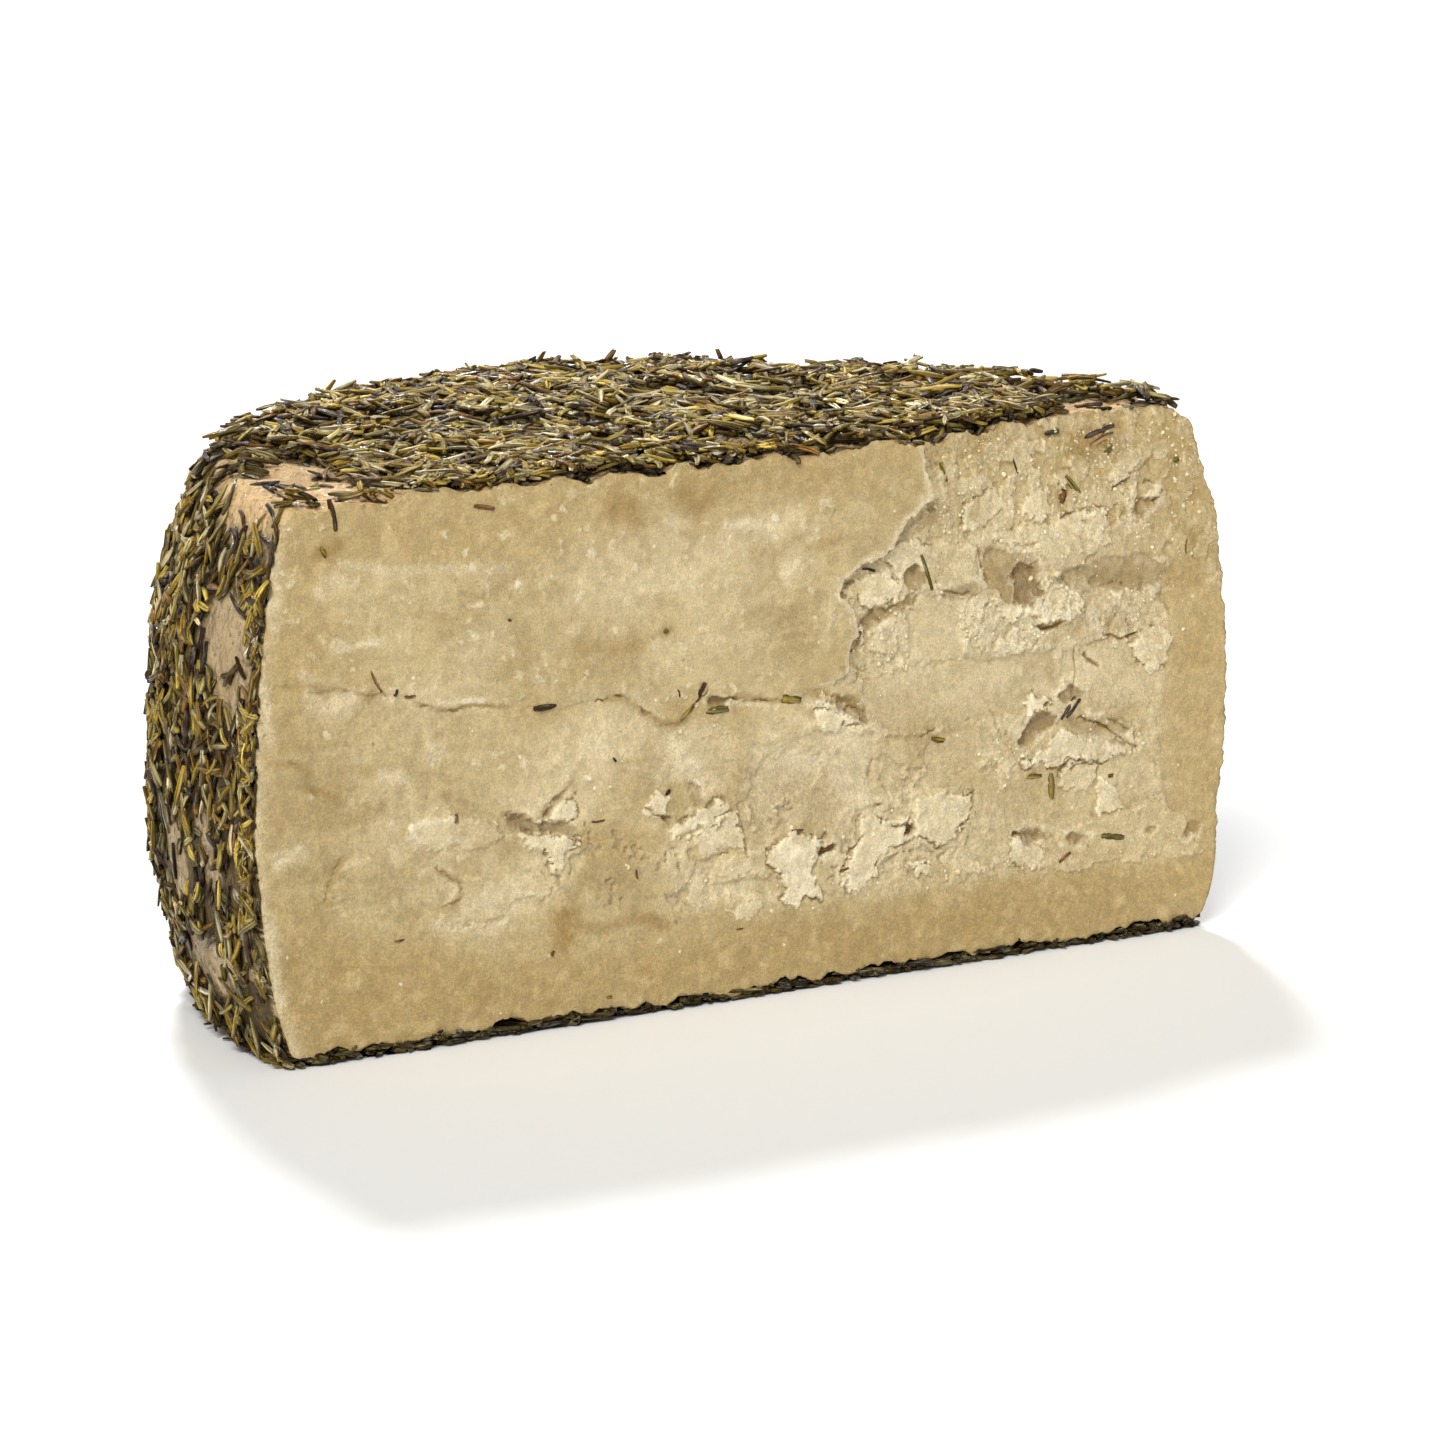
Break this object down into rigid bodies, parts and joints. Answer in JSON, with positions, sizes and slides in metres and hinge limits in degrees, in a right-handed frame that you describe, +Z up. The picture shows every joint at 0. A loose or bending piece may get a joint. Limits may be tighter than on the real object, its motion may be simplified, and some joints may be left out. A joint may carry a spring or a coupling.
{
  "type": "half wheel of cheese coated in rosemary",
  "caption": "Half a wheel of aged semi-hard cheese, cut and torn open down its middle, with a dense coat of dried rosemary needles on its rind.",
  "frame": {"origin": "middle of the base, where the bounding box's centre meets the surface the cheese stands on", "axes": "+Z up; X along the cut face, +X to the right of somebody who looks at the cut; the cut face looks towards -Y and the half wheel curves away towards +Y"},
  "size_m": [0.2023, 0.1019, 0.0915],
  "materials": {
    "paste": "pale yellow-beige paste of an aged cheese, smooth where the knife cut it and crumbly where it tore, with small white crystals",
    "rind": "thin oiled pinkish-beige rind, waxy and glossy, seen between the needles",
    "rosemary": "oiled dried rosemary needles, olive, grey-green and purple-black, with a few tan stems"
  },
  "bodies": {
    "root": {"half_wheel": "paste"}
  },
  "joints": []
}
